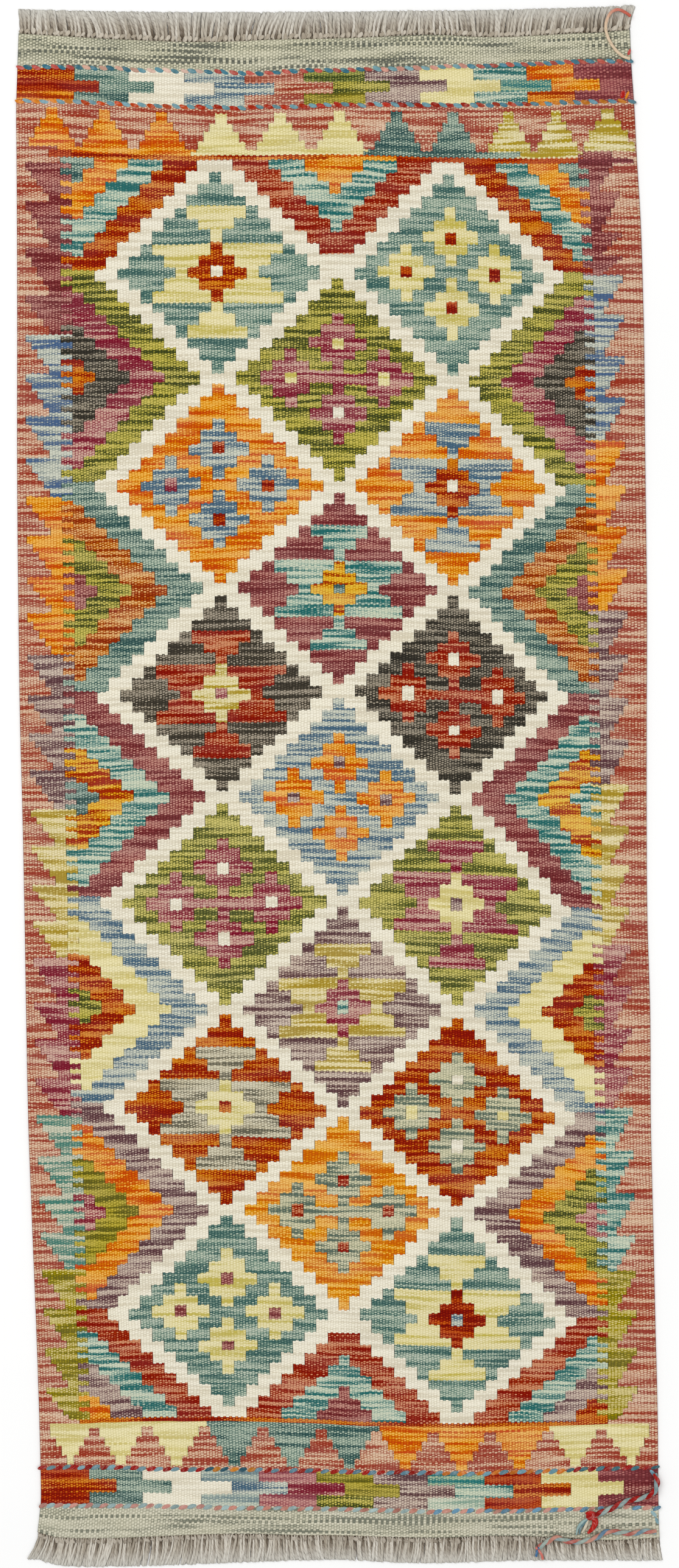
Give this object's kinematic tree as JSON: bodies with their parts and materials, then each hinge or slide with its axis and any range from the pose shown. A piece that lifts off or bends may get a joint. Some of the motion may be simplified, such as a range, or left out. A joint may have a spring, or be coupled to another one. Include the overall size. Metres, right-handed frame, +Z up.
{
  "type": "kilim rug",
  "caption": "Flat-woven wool kilim runner with a stepped diamond lattice, striped guards, twined end bands and short knotted fringes, lying flat with loose yarn tails.",
  "frame": {"origin": "on the floor under the middle of the runner, fringes included", "axes": "+X across the width, +Y along the length towards the upper end, +Z up from the floor through the face"},
  "size_m": [0.8302, 2.0105, 0.0104],
  "materials": {
    "weave": "matte slit-woven wool, streaked dyes",
    "warp_wool": "matte plied undyed wool",
    "pale_yarn": "matte plied wool",
    "red_tail": "matte plied wool",
    "pale_blue_yarn": "matte plied wool",
    "pink_tail": "matte plied wool"
  },
  "bodies": {
    "root": {"rug_cloth": "weave", "fringe_top": "warp_wool", "fringe_bottom": "warp_wool", "loose_yarn_top": "pale_yarn", "loose_tail_red": "red_tail", "loose_tail_red_end": "pale_blue_yarn", "loose_tail_pink": "pink_tail"}
  },
  "joints": []
}
